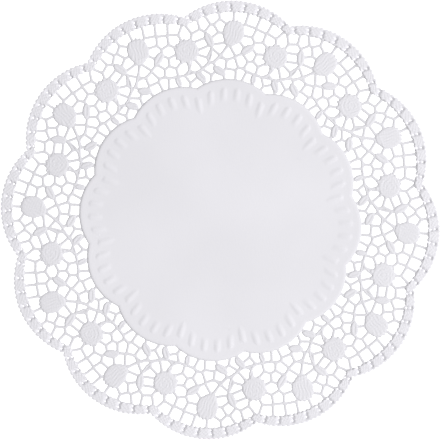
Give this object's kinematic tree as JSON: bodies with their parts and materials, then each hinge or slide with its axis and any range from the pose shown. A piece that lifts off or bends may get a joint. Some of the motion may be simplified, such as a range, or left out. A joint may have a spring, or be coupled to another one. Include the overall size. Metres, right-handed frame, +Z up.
{
  "type": "paper doily",
  "caption": "Round paper doily with a scalloped embossed border, a floral lace band with see-through gaps and a plain round medallion, lying flat.",
  "frame": {"origin": "middle of the sheet's underside", "axes": "+Z up, square to the sheet; +X and +Y lie in the sheet, with a scallop's middle 25.2 degrees anticlockwise from +X"},
  "size_m": [0.3592, 0.3592, 0.001],
  "materials": {
    "paper": "matt white embossed paper with a faint cool cast"
  },
  "bodies": {
    "root": {"doily_sheet": "paper"}
  },
  "joints": []
}
